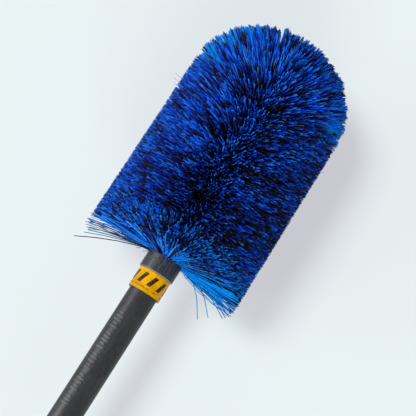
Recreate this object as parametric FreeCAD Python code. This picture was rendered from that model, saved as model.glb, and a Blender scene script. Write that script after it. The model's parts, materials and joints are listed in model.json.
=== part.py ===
import FreeCAD, Part
import math
import os

# Wheel brush: filament rows on a twisted wire stem that is anchored in a hollow moulded handle.
# Millimetres. +X runs from the hanging eye to the tip, +Z is up, and the brush lies on z = 0.
# Inside the functions every place is a station on the brush axis, measured from the mouth of
# the ferrule: the head has positive stations and the handle has negative ones.

# ---- overall ---------------------------------------------------------------------------------
head_diameter = 127.0
head_length = 198.0
dome_height = 54.0
crown_flat_radius = 2.0
handle_length = 258.0
rest_flat_depth = 1.5

# ---- clearances ------------------------------------------------------------------------------
fit_gap = 0.05
running_gap = 0.3

# ---- twisted stem ----------------------------------------------------------------------------
strand_radius = 1.6
strand_gap = 0.1
twist_pitch = 25.0
stem_overhang = 1.95
stem_tip_setback = 39.5

# ---- filament rows ---------------------------------------------------------------------------
row_count = 11
row_thickness = 4.5
first_row_station = 2.8
last_row_setback = 16.2
root_collar_gap = 0.75
fan_thickness = 2.6
# Each fan row: how far its roots stand behind the stem's front end, and its lean in degrees.
fan_rows = {
    "fan_row_1": (20.7, 10.0),
    "fan_row_2": (17.5, 27.0),
    "fan_row_3": (13.6, 45.0),
    "fan_row_4": (8.4, 64.0),
}
tuft_half_angle = 13.0

# ---- tip cap ---------------------------------------------------------------------------------
tip_cap_wall = 1.3
tip_cap_grip = 2.3
tip_cap_nose = 2.6

# ---- ferrule and label -----------------------------------------------------------------------
flange_step = 2.7
ferrule_flange_length = 14.7
ferrule_edge_fillet = 0.6
mouth_lip_length = 3.0
mouth_lip_step = 1.6
label_seat_step = 1.4
label_seat_length = 16.8
label_thickness = 0.22
label_margin = 0.25

# ---- handle tube -----------------------------------------------------------------------------
handle_radius = 11.3
handle_wall = 2.4
spigot_step = 0.4
groove_count = 7
groove_pitch = 8.5
groove_depth = 0.7
groove_cutter_radius = 2.2
last_groove_setback = 9.0

# ---- stem anchor, crimp sleeve, pins and bush ------------------------------------------------
bush_front_station = -4.0
bush_thickness = 5.0
anchor_length = 40.0
crimp_wall = 1.6
crimp_length = 10.0
crimp_overhang = 2.0
pin_radius = 1.5
pin_setback = 12.0
pin_standoff = 1.5

# ---- end cap ---------------------------------------------------------------------------------
eye_hole_radius = 4.0
eye_outer_radius = 9.0
eye_thickness = 7.0
eye_edge_fillet = 1.2
cap_spigot_length = 18.0
cap_shoulder_length = 9.0

# ---- values that follow ----------------------------------------------------------------------
head_radius = head_diameter / 2.0
axis_height = head_radius - rest_flat_depth
mouth_x = (handle_length - head_length) / 2.0
straight_length = head_length - dome_height
row_pitch = (straight_length - last_row_setback - first_row_station) / (row_count - 1)
strand_offset = strand_radius + strand_gap / 2.0
stem_radius = strand_offset + strand_radius
row_bore_radius = stem_radius + running_gap
stem_bore_radius = stem_radius + fit_gap
stem_front_station = head_length - stem_tip_setback
tip_cap_radius = stem_bore_radius + tip_cap_wall
tip_cap_rear_station = stem_front_station - tip_cap_grip
tip_cap_front_station = stem_front_station + fit_gap + tip_cap_nose
ferrule_length = ferrule_flange_length + label_seat_length
ferrule_flange_radius = handle_radius + flange_step
label_seat_radius = handle_radius + label_seat_step
spigot_radius = handle_radius - spigot_step
ferrule_bore_radius = spigot_radius + fit_gap
mouth_radius = ferrule_bore_radius - mouth_lip_step
root_collar_radius = mouth_radius - root_collar_gap
handle_bore_radius = handle_radius - handle_wall
anchor_front_station = bush_front_station - bush_thickness - fit_gap
anchor_rear_station = anchor_front_station - anchor_length
stem_rear_station = anchor_rear_station - stem_overhang
crimp_radius = stem_bore_radius + crimp_wall
crimp_rear_station = anchor_rear_station - crimp_overhang
crimp_front_station = crimp_rear_station + crimp_length
pin_station = anchor_front_station - pin_setback
pin_inner_end = stem_bore_radius + pin_standoff
eye_station = eye_outer_radius - handle_length
tube_rear_station = eye_station + eye_outer_radius + cap_shoulder_length

X_AXIS = FreeCAD.Vector(1, 0, 0)
Y_AXIS = FreeCAD.Vector(0, 1, 0)
Z_AXIS = FreeCAD.Vector(0, 0, 1)
FULL_TURN = 360


def at(station, radius=0.0):
    """A point of the profile plane: station along the axis, radius above it."""
    return FreeCAD.Vector(station, 0, radius)


def outline_face(points):
    """The flat face inside a closed outline of (station, radius) points."""
    corners = [at(*p) for p in points]
    return Part.Face(Part.makePolygon(corners + corners[:1]))


def turned(points):
    """The solid that an outline of (station, radius) points sweeps about the axis."""
    return outline_face(points).revolve(at(0), X_AXIS, FULL_TURN)


def ring(rear, front, outer, inner):
    """A plain ring between two stations."""
    return turned([(rear, inner), (front, inner), (front, outer), (rear, outer)])


def rod(rear, front, radius):
    """A plain cylinder on the axis between two stations."""
    return Part.makeCylinder(radius, front - rear, at(rear), X_AXIS)


def fillet_rims(solid, size, rims):
    """Fillets the circular edges about the axis that are at the given (station, radius)."""
    def wanted(edge):
        if not isinstance(edge.Curve, Part.Circle):
            return False
        return any(
            edge.Curve.Center.distanceToPoint(at(station)) < fit_gap
            and abs(edge.Curve.Radius - radius) < fit_gap
            for station, radius in rims
        )
    return solid.makeFillet(size, [e for e in solid.Edges if wanted(e)])


# ---- head ------------------------------------------------------------------------------------
def envelope_profile():
    """Half the head's outline: a straight side, then an elliptical dome with a small crown."""
    shoulder = at(straight_length, head_radius)
    crown = at(head_length, crown_flat_radius)
    reach = head_radius - crown_flat_radius
    middle = at(
        straight_length + dome_height * math.sin(math.pi / 4.0),
        crown_flat_radius + reach * math.cos(math.pi / 4.0),
    )
    centre = at(straight_length, crown_flat_radius)
    ellipse = Part.Ellipse(shoulder, crown, centre)
    arc = Part.ArcOfEllipse(ellipse, 0.0, math.pi / 2.0).toShape()
    if arc.distToShape(Part.Vertex(middle))[0] > fit_gap:
        arc = Part.ArcOfEllipse(ellipse, -math.pi / 2.0, 0.0).toShape()
    rear = -head_length
    sides = Part.makePolygon([crown, at(head_length), at(rear), at(rear, head_radius), shoulder])
    return Part.Face(Part.Wire([arc] + sides.Edges))


def filaments(points):
    """A turned mass of filaments, trimmed to the head's outline and to the plane it rests on."""
    profile = outline_face(points).common(envelope_profile()).Faces[0]
    whole = profile.revolve(at(0), X_AXIS, FULL_TURN)
    span = 4 * head_length
    corner = FreeCAD.Vector(-span / 2.0, -span / 2.0, -axis_height)
    above_rest = Part.makeBox(span, span, span, corner)
    reach = max(v.Point.z for v in profile.Vertexes)
    return whole.common(above_rest) if reach > axis_height else whole


def base_row():
    """The row at the mouth: its roots fill the ferrule round the stem."""
    roots_rear = bush_front_station + fit_gap
    half = row_thickness / 2.0
    return filaments([
        (roots_rear, row_bore_radius),
        (first_row_station + half, row_bore_radius),
        (first_row_station + half, head_diameter),
        (first_row_station - half, head_diameter),
        (first_row_station - half, root_collar_radius),
        (roots_rear, root_collar_radius),
    ])


def straight_row(number):
    """A row of filaments that stand square to the stem."""
    centre = first_row_station + row_pitch * number
    half = row_thickness / 2.0
    return filaments([
        (centre - half, row_bore_radius),
        (centre + half, row_bore_radius),
        (centre + half, head_diameter),
        (centre - half, head_diameter),
    ])


def fan_row(setback, lean_deg):
    """A row of the dome: a dished band whose filaments lean forward by lean_deg."""
    root = stem_front_station - setback
    lean = math.radians(lean_deg)
    half = fan_thickness / 2.0 / math.cos(lean)
    run = head_diameter * math.tan(lean)
    rim_radius = row_bore_radius + head_diameter
    return filaments([
        (root - half, row_bore_radius),
        (root + half, row_bore_radius),
        (root + half + run, rim_radius),
        (root - half + run, rim_radius),
    ])


def tip_tuft():
    """The filaments that stand straight forward, from the tip cap to the crown."""
    rear = tip_cap_front_station + fit_gap
    spread = tip_cap_radius + head_length * math.tan(math.radians(tuft_half_angle))
    return filaments([
        (rear, 0),
        (rear, tip_cap_radius),
        (rear + head_length, spread),
        (rear + head_length, 0),
    ])


# ---- stem ------------------------------------------------------------------------------------
def stem_strand(phase_deg):
    """One of the two steel strands that are twisted round the brush axis."""
    overrun = strand_radius
    length = stem_front_station - stem_rear_station + 2 * overrun
    path = Part.makeHelix(twist_pitch, length, strand_offset)
    start = FreeCAD.Vector(strand_offset, 0, 0)
    along = FreeCAD.Vector(0, 2 * math.pi * strand_offset, twist_pitch)
    section = Part.Wire(Part.makeCircle(strand_radius, start, along))
    strand = Part.Wire(path.Edges).makePipeShell([section], True, True)
    strand.rotate(at(0), Z_AXIS, phase_deg)
    strand.rotate(at(0), Y_AXIS, FULL_TURN / 4)
    strand.translate(at(stem_rear_station - overrun))
    return strand.common(rod(stem_rear_station, stem_front_station, 2 * stem_radius))


def tip_cap():
    """The soft thimble that covers the wire ends."""
    front = tip_cap_front_station
    body = rod(tip_cap_rear_station, front, tip_cap_radius)
    body = fillet_rims(body, tip_cap_nose / 2.0, [(front, tip_cap_radius)])
    return body.cut(rod(tip_cap_rear_station, front - tip_cap_nose, stem_bore_radius))


# ---- stem anchor -----------------------------------------------------------------------------
def pin_cylinder(side, radius, inner_end, outer_end):
    """A radial cylinder at the pins' station, on the +Y or the -Y side."""
    base = FreeCAD.Vector(pin_station, side * inner_end, 0)
    return Part.makeCylinder(radius, outer_end - inner_end, base, Y_AXIS * side)


def pin_holes(inner_end):
    """The drilled holes for both retaining pins."""
    radius = pin_radius + fit_gap
    return [pin_cylinder(side, radius, inner_end, handle_radius) for side in (-1, 1)]


def retaining_pin(side):
    """A drive pin through the tube wall into the anchor, hidden under the ferrule."""
    return pin_cylinder(side, pin_radius, pin_inner_end, spigot_radius - running_gap)


def stem_anchor():
    """The moulded plug that grips the stem in the handle and seats the crimp sleeve."""
    outer = handle_bore_radius - fit_gap
    body = ring(anchor_rear_station, anchor_front_station, outer, stem_bore_radius)
    seat = rod(anchor_rear_station, crimp_front_station + fit_gap, crimp_radius + fit_gap)
    return body.cut(seat).cut(pin_holes(pin_inner_end - fit_gap))


def crimp_sleeve():
    """The steel sleeve pressed over both strands, so that they can't untwist or pull out."""
    return ring(crimp_rear_station, crimp_front_station, crimp_radius, stem_bore_radius)


def mouth_bush():
    """The rubber bush that seals the tube round the stem, in front of the anchor."""
    rear = bush_front_station - bush_thickness
    return ring(rear, bush_front_station, handle_bore_radius - fit_gap, stem_bore_radius)


# ---- handle ----------------------------------------------------------------------------------
def ferrule():
    """The collar at the front of the handle, with its mouth lip, flange and label seat."""
    rear = -ferrule_length
    flange_rear = -ferrule_flange_length
    body = turned([
        (0, mouth_radius),
        (0, ferrule_flange_radius),
        (flange_rear, ferrule_flange_radius),
        (flange_rear, label_seat_radius),
        (rear, label_seat_radius),
        (rear, ferrule_bore_radius),
        (-mouth_lip_length, ferrule_bore_radius),
        (-mouth_lip_length, mouth_radius),
    ])
    rims = [(0, ferrule_flange_radius), (flange_rear, ferrule_flange_radius)]
    return fillet_rims(body, ferrule_edge_fillet, rims)


def label_band():
    """The printed band round the ferrule's seat."""
    inner = label_seat_radius + fit_gap
    rear = label_margin - ferrule_length
    front = -label_margin - ferrule_flange_length
    return ring(rear, front, inner + label_thickness, inner)


def handle_tube():
    """The hollow handle: a spigot inside the ferrule, a plain shank and a grooved grip."""
    front = -mouth_lip_length - fit_gap
    shoulder = -ferrule_length - fit_gap
    body = turned([
        (front, handle_bore_radius),
        (front, spigot_radius),
        (shoulder, spigot_radius),
        (shoulder, handle_radius),
        (tube_rear_station, handle_radius),
        (tube_rear_station, handle_bore_radius),
    ])
    cutter_offset = handle_radius + groove_cutter_radius - groove_depth
    for number in range(groove_count):
        station = tube_rear_station + last_groove_setback + groove_pitch * number
        cutter = Part.makeTorus(cutter_offset, groove_cutter_radius, at(station), X_AXIS)
        body = body.cut(cutter)
    return body.cut(pin_holes(pin_inner_end))


def hanging_eye(root_station):
    """The flat tab behind the cap, rounded round the hanging hole."""
    low = -eye_thickness / 2.0
    corner = FreeCAD.Vector(eye_station, -eye_outer_radius, low)
    reach = root_station - eye_station
    tab = Part.makeBox(reach, 2 * eye_outer_radius, eye_thickness, corner)
    centre = FreeCAD.Vector(eye_station, 0, low)
    loop = Part.makeCylinder(eye_outer_radius, eye_thickness, centre, Z_AXIS)
    eye = tab.fuse(loop).removeSplitter()

    def on_outline(edge):
        box = edge.BoundBox
        return box.ZLength < fit_gap and box.XMin < root_station - fit_gap
    eye = eye.makeFillet(eye_edge_fillet, [e for e in eye.Edges if on_outline(e)])
    hole = Part.makeCylinder(eye_hole_radius, 2 * eye_thickness, centre + Z_AXIS * low, Z_AXIS)
    return eye.cut(hole)


def end_cap():
    """The plug that closes the handle, with the hanging eye."""
    front = tube_rear_station - fit_gap
    neck = front - cap_shoulder_length
    rim_rear = front - cap_shoulder_length / 3.0
    spigot = rod(front, front + cap_spigot_length, handle_bore_radius - fit_gap)
    shoulder = turned([
        (front, 0),
        (front, handle_radius),
        (rim_rear, handle_radius),
        (neck, eye_thickness / 2.0),
        (neck, 0),
    ])
    return spigot.fuse([shoulder, hanging_eye(rim_rear)]).removeSplitter()


def export(name, shape):
    """Lifts a sub-part from the brush axis to its place above the rest plane and writes it."""
    placed = shape.copy()
    placed.translate(at(mouth_x, axis_height))
    placed.exportStep(f"parts/{name}.step")


def main():
    os.makedirs("parts", exist_ok=True)
    export("handle_tube", handle_tube())
    export("ferrule", ferrule())
    export("label_band", label_band())
    export("end_cap", end_cap())
    export("mouth_bush", mouth_bush())
    export("stem_anchor", stem_anchor())
    export("crimp_sleeve", crimp_sleeve())
    export("retaining_pin_left", retaining_pin(1))
    export("retaining_pin_right", retaining_pin(-1))
    export("stem_strand_a", stem_strand(0))
    export("stem_strand_b", stem_strand(FULL_TURN / 2))
    export("tip_cap", tip_cap())
    export("filament_row_00", base_row())
    for number in range(1, row_count):
        export(f"filament_row_{number:02d}", straight_row(number))
    for name, (setback, lean_deg) in fan_rows.items():
        export(name, fan_row(setback, lean_deg))
    export("tip_tuft", tip_tuft())


main()
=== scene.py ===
"""A wheel brush: dyed filaments on a twisted wire stem, in a slim moulded handle with a collar."""

import json
import logging
import math
from abc import ABC, abstractmethod
from dataclasses import dataclass, field
from enum import Enum
from functools import partial
from typing import Callable, Mapping, Sequence, Union

import bmesh
import bpy
import numpy as np
from mathutils import Matrix, Vector

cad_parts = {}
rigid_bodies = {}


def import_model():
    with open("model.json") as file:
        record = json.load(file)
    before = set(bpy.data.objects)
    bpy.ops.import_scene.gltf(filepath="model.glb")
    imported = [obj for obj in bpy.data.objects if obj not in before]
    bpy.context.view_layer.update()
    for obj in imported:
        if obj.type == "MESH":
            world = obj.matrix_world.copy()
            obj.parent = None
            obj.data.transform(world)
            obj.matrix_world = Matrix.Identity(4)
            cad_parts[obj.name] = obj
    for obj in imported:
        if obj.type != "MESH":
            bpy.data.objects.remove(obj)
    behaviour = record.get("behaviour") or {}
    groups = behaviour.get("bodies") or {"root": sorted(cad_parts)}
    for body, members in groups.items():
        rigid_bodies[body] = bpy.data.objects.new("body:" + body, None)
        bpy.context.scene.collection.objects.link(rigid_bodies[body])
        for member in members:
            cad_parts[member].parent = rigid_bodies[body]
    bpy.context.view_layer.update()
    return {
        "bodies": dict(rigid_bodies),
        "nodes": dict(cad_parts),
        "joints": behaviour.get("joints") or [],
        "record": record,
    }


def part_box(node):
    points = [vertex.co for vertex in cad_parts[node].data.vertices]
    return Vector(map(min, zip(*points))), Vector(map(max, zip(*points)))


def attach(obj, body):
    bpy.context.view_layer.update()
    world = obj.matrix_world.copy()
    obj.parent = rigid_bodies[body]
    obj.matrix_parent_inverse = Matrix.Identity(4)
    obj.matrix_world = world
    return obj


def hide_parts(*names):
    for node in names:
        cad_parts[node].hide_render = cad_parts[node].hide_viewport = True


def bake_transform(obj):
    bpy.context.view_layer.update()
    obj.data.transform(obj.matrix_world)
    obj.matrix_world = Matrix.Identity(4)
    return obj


MM = 0.001
LOG = logging.getLogger("wheel_brush")

Colour = tuple[float, float, float]
Span = tuple[float, float]
Operand = Union["Signal", float]
Wire = Union["Signal", bpy.types.NodeSocket, float, Colour, Vector, tuple]
Spots = tuple[Union[float, np.ndarray], Union[float, np.ndarray], Union[float, np.ndarray]]
TABLE_SIZE = 4096
LOCK_STEPS = (131, 7919)
PATCH_STEPS = (57, 911)


# ---- node trees ------------------------------------------------------------------------------
def operator_for(operation: str, swapped: bool = False) -> Callable[["Signal", Operand], "Signal"]:
    """Makes the Signal method that stands for a Python operator.

    Args:
        operation: The Math node's operation.
        swapped: Whether the other operand comes first.

    Returns:
        The method.
    """

    def method(self: "Signal", other: Operand) -> "Signal":
        """Combines self and other."""
        terms = (other, self) if swapped else (self, other)
        return self.board.node("ShaderNodeMath", {"operation": operation}, dict(enumerate(terms)))

    return method


class Signal:
    """A value that varies over a surface: a node socket with Python's arithmetic."""

    def __init__(self, board: "Board", socket: bpy.types.NodeSocket) -> None:
        """Wraps a socket."""
        self.board = board
        self.socket = socket

    __add__ = operator_for("ADD")
    __radd__ = operator_for("ADD", swapped=True)
    __sub__ = operator_for("SUBTRACT")
    __rsub__ = operator_for("SUBTRACT", swapped=True)
    __mul__ = operator_for("MULTIPLY")
    __rmul__ = operator_for("MULTIPLY", swapped=True)
    __truediv__ = operator_for("DIVIDE")
    __lt__ = operator_for("LESS_THAN")
    __gt__ = operator_for("GREATER_THAN")
    angle = operator_for("ARCTAN2")

    def __abs__(self) -> "Signal":
        """The size of self."""
        return self.board.node("ShaderNodeMath", {"operation": "ABSOLUTE"}, {0: self})

    def fraction(self) -> "Signal":
        """The part of self after the decimal point."""
        return self.board.node("ShaderNodeMath", {"operation": "FRACT"}, {0: self})

    def eased(self, low: float, high: float, start: float = 0.0, end: float = 1.0) -> "Signal":
        """Maps self smoothly from low..high to start..end.

        Args:
            low: The value that gives start.
            high: The value that gives end.
            start: The result at and before low.
            end: The result at and after high.

        Returns:
            The mapped signal.
        """
        settings = {"interpolation_type": "SMOOTHSTEP"}
        inputs = {0: self, 1: low, 2: high, 3: start, 4: end}
        return self.board.node("ShaderNodeMapRange", settings, inputs)


@dataclass(frozen=True)
class Cloud:
    """A kind of noise: its clouds in a metre, its finer layers, their strength, its stretch."""

    scale: float
    detail: float = 4.0
    rough: float = 0.55
    stretch: tuple[float, float, float] = (1.0, 1.0, 1.0)


class Board:
    """A node tree under construction."""

    def __init__(self, tree: bpy.types.NodeTree) -> None:
        """Empties a node tree."""
        self.tree = tree
        tree.nodes.clear()

    def node(
        self,
        kind: str,
        settings: Mapping[str, object] | None = None,
        inputs: Mapping[Union[str, int], Wire] | None = None,
        output: Union[str, int] = 0,
    ) -> Signal:
        """Adds one node, sets it up and wires its inputs.

        Args:
            kind: The node's type.
            settings: The node's properties, set before its inputs. "stops" fills a ramp.
            inputs: The value or the signal of each input that isn't left at its default.
            output: The output that the result wraps.

        Returns:
            The chosen output.
        """
        made = self.tree.nodes.new(kind)
        for name, value in (settings or {}).items():
            if name == "stops":
                self._fill_ramp(made, value)
            else:
                setattr(made, name, value)
        for name, value in (inputs or {}).items():
            socket = made.inputs[name]
            if isinstance(value, Signal):
                value = value.socket
            if isinstance(value, bpy.types.NodeSocket):
                self.tree.links.new(value, socket)
            elif socket.type == "RGBA" and len(value) == 3:
                socket.default_value = (*value, 1.0)
            else:
                socket.default_value = value
        return Signal(self, made.outputs[output] if made.outputs else made.inputs[0])

    @staticmethod
    def _fill_ramp(node: bpy.types.Node, stops: Sequence[tuple[float, Colour]]) -> None:
        """Gives a ramp its stops.

        Args:
            node: A Color Ramp node.
            stops: The place and the colour of each stop, in order.
        """
        elements = node.color_ramp.elements
        while len(elements) < len(stops):
            elements.new(1.0)
        for element, (place, colour) in zip(elements, stops):
            element.position = place
            element.color = (*colour, 1.0)

    def place(self) -> Signal:
        """The point on the surface, in the object's own coordinates."""
        return self.node("ShaderNodeTexCoord", output="Object")

    def axes(self, point: Signal) -> list[Signal]:
        """The x, y and z of a point."""
        kind = "ShaderNodeSeparateXYZ"
        return [self.node(kind, inputs={0: point}, output=number) for number in range(3)]

    def noise(self, point: Signal, cloud: Cloud) -> Signal:
        """Cloudy noise between about 0.2 and 0.8.

        Args:
            point: Where to read the noise.
            cloud: The kind of noise.

        Returns:
            The noise.
        """
        turned = self.node("ShaderNodeMapping", inputs={"Vector": point, "Scale": cloud.stretch})
        inputs = {"Scale": cloud.scale, "Detail": cloud.detail, "Roughness": cloud.rough}
        return self.node("ShaderNodeTexNoise", inputs={"Vector": turned, **inputs})

    def mix(self, low: Wire, high: Wire, share: Wire) -> Signal:
        """The colour that lies share of the way from low to high."""
        settings = {"data_type": "RGBA"}
        return self.node("ShaderNodeMix", settings, {0: share, 6: low, 7: high}, output=2)

    def bump(self, height: Signal, depth: float, strength: float = 1.0,
             over: Signal | None = None) -> Signal:
        """A surface relief.

        Args:
            height: The relief, 0 to 1.
            depth: What a height of 1 stands for, in metres.
            strength: How much of the relief shows.
            over: A relief under this one.

        Returns:
            The bent normal.
        """
        inputs: dict[str, Wire] = {"Height": height, "Distance": depth, "Strength": strength}
        if over is not None:
            inputs["Normal"] = over
        return self.node("ShaderNodeBump", inputs=inputs)

    def seen(self) -> Signal:
        """Tells the rays that the eye follows from the rays that only carry light.

        Returns:
            1 for a ray that is straight, mirrored or through a clear thing, else 0.
        """
        kinds = ("Camera", "Glossy", "Transmission")
        rays = [self.node("ShaderNodeLightPath", output=f"Is {kind} Ray") for kind in kinds]
        return rays[0] + rays[1] + rays[2]


# ---- finishes --------------------------------------------------------------------------------
@dataclass(frozen=True)
class Finish(ABC):
    """What all finishes share: a material that one shader fills."""

    name: str

    @abstractmethod
    def shader(self, board: Board) -> Signal:
        """Wires the finish's shader on a material's board."""

    def material(self) -> bpy.types.Material:
        """Builds the material.

        Returns:
            A new material with the finish's shader on its surface.
        """
        material = bpy.data.materials.new(self.name)
        material.use_nodes = True
        board = Board(material.node_tree)
        board.node("ShaderNodeOutputMaterial", inputs={"Surface": self.shader(board)})
        return material


@dataclass(frozen=True)
class FilamentNylon(Finish):
    """Dyed nylon filament, mostly blue with some black, that lets light through.

    The attribute "tone" is each filament's own colour, shifted by painted light and shade for the
    side of the head that it is on: black below black_share, then deeper to paler blue up to 1, and
    azure above. The attribute "reach" runs from 0 at a root to 1 at a tip; towards the roots it
    darkens the dye with a painted shade. On filaments that stand in the open it starts higher and
    may pass 1: there the painted shade is gone, they are painted azure for the light that shines
    through them and let no light through themselves, and in teal_reach they turn teal. The tips
    are mixed paler: partly for their pale cut ends, partly as painted light shining through them.
    """

    name: str = "filament_nylon"
    black: Colour = (0.012, 0.008, 0.010)
    deep: Colour = (0.005, 0.010, 0.16)
    royal: Colour = (0.001, 0.066, 1.0)
    bright: Colour = (0.002, 0.145, 1.0)
    pale: Colour = (0.040, 0.29, 1.0)
    azure: Colour = (0.0, 0.345, 1.0)
    azure_share: float = 0.6
    teal: Colour = (0.0, 0.19, 0.38)
    teal_share: float = 0.85
    root_reach: Span = (0.35, 0.97)
    tip_reach: Span = (0.93, 1.0)
    azure_reach: Span = (1.0, 1.1)
    teal_reach: Span = (1.22, 1.3)
    glow_reach: Span = (0.3, 1.0)
    solid_reach: Span = (1.0, 1.06)
    # The dark warm colour of the painted shade at the roots.
    dust_and_shade: Colour = (0.018, 0.011, 0.010)
    glow: Colour = (0.0, 0.21, 0.90)
    tip: Colour = (0.002, 0.24, 0.98)
    tip_share: float = 0.26
    sheen_tint: Colour = (0.12, 0.45, 1.0)
    black_share: float = 0.31
    deep_share: float = 0.45
    royal_share: float = 0.72
    pale_share: float = 0.960
    top_tone: float = 1.25
    black_fade: float = 0.03
    pale_fade: float = 0.02
    azure_fade: float = 0.05
    root_shade: float = 0.04
    roughness: float = 0.40
    specular: float = 0.06
    see_through: float = 0.21
    streaks: Cloud = Cloud(420.0, 3.0)
    streak_span: Span = (0.35, 0.7)
    streak_shade: Span = (0.84, 0.18)
    streak_roughness: float = 0.18

    def shader(self, board: Board) -> Signal:
        """Wires the shader.

        Args:
            board: The material's board.

        Returns:
            The shader.
        """
        tone = board.node("ShaderNodeAttribute", {"attribute_name": "tone"}, output="Fac")
        reach = board.node("ShaderNodeAttribute", {"attribute_name": "reach"}, output="Fac")
        stops = [
            (0.0, self.black),
            (self.black_share, self.black),
            (self.black_share + self.black_fade, self.deep),
            (self.deep_share, self.deep),
            (self.royal_share, self.royal),
            (self.pale_share - self.pale_fade, self.bright),
            (self.pale_share, self.pale),
            (self.top_tone - self.azure_fade, self.azure),
        ]
        stops = [(tone_at / self.top_tone, colour) for tone_at, colour in stops]
        dye = board.node("ShaderNodeValToRGB", {"stops": stops}, {0: tone / self.top_tone})
        streak = board.noise(board.place(), self.streaks).eased(*self.streak_span)
        least, more = self.streak_shade
        # Painted shade: the dye darkens towards the roots, as deep among the filaments; the streaks
        # vary it at random.
        shade = reach.eased(*self.root_reach, self.root_shade, 1.0) * (least + more * streak)
        coloured = tone > self.black_share
        # Painted light: the tips are mixed paler, partly for their cut ends and partly for light
        # shining through them, and filaments in the open are painted azure.
        for tint, span, most in (
            (self.tip, self.tip_reach, self.tip_share),
            (self.azure, self.azure_reach, self.azure_share),
            (self.teal, self.teal_reach, self.teal_share),
        ):
            dye = board.mix(dye, tint, reach.eased(*span, 0.0, most) * coloured)
        colour = board.mix(self.dust_and_shade, dye, shade)
        solid = board.node("ShaderNodeBsdfPrincipled", inputs={
            "Base Color": colour,
            "Roughness": self.roughness + self.streak_roughness * streak,
            "Specular IOR Level": self.specular,
            "Specular Tint": self.sheen_tint,
        })
        glow = board.node("ShaderNodeBsdfTranslucent", inputs={"Color": self.glow})
        share = reach.eased(*self.glow_reach, 0.0, self.see_through) * coloured
        share = share * reach.eased(*self.solid_reach, 1.0, 0.0)
        return board.node("ShaderNodeMixShader", inputs={0: share, 1: solid, 2: glow})


@dataclass(frozen=True)
class SatinPlastic(Finish):
    """Moulded plastic with a fine grain, mottling, handling scuffs, a faint mould seam and, where
    set, a painted highlight line along a rim.
    """

    dark: Colour
    light: Colour
    scuff_and_highlight: Colour
    axis_height: float
    roughness: float = 0.46
    shine: float = 0.34
    scuff_share: float = 0.35
    grain_depth: float = 0.00006
    seam_width: float = 0.00016
    # Where along x the painted highlight line along a rim lies, and its half width; -1 m keeps it
    # off the part.
    worn_rim: float = -1.0
    rim_width: float = 0.0004
    mottles: Cloud = Cloud(55.0, 6.0, 0.62)
    mottle_span: Span = (0.34, 0.68)
    clouds: Cloud = Cloud(480.0, 5.0, 0.65)
    cloud_span: Span = (0.36, 0.66)
    grains: Cloud = Cloud(2300.0, 3.0, 0.6)
    drags: Cloud = Cloud(60.0, 6.0, 0.7, (1.0, 16.0, 16.0))
    drag_span: Span = (0.54, 0.72)
    specks: Cloud = Cloud(850.0, 2.0, 0.5)
    speck_span: Span = (0.60, 0.70)

    def shader(self, board: Board) -> Signal:
        """Wires the shader.

        Args:
            board: The material's board.

        Returns:
            The shader.
        """
        place = board.place()
        along, across, height = board.axes(place)
        mottle = board.noise(place, self.mottles).eased(*self.mottle_span)
        cloud = board.noise(place, self.clouds)
        drag = board.noise(place, self.drags).eased(*self.drag_span)
        specks = board.noise(place, self.specks).eased(*self.speck_span)
        share = mottle * 0.5 + cloud.eased(*self.cloud_span) * 0.5
        body = board.mix(self.dark, self.light, share)
        # Real scuffs and specks, and the painted rim highlight, all mix towards the scuff colour.
        worn = drag * self.scuff_share + specks * (0.5 * self.scuff_share)
        worn = worn + (abs(along - self.worn_rim) < self.rim_width) * (0.35 + 0.5 * cloud)
        colour = board.mix(body, self.scuff_and_highlight, worn)
        seam = (abs(across) < self.seam_width) * (height > self.axis_height)
        relief = board.bump(board.noise(place, self.grains), self.grain_depth, 0.55)
        relief = board.bump(cloud + 0.6 * drag, 2.5 * self.grain_depth, 0.4, relief)
        relief = board.bump(seam, 2.0 * self.grain_depth, 0.5, relief)
        return board.node("ShaderNodeBsdfPrincipled", inputs={
            "Base Color": colour,
            "Roughness": self.roughness + 0.16 * cloud - 0.1 * drag,
            "Normal": relief,
            "Specular IOR Level": self.shine,
        })


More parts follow.
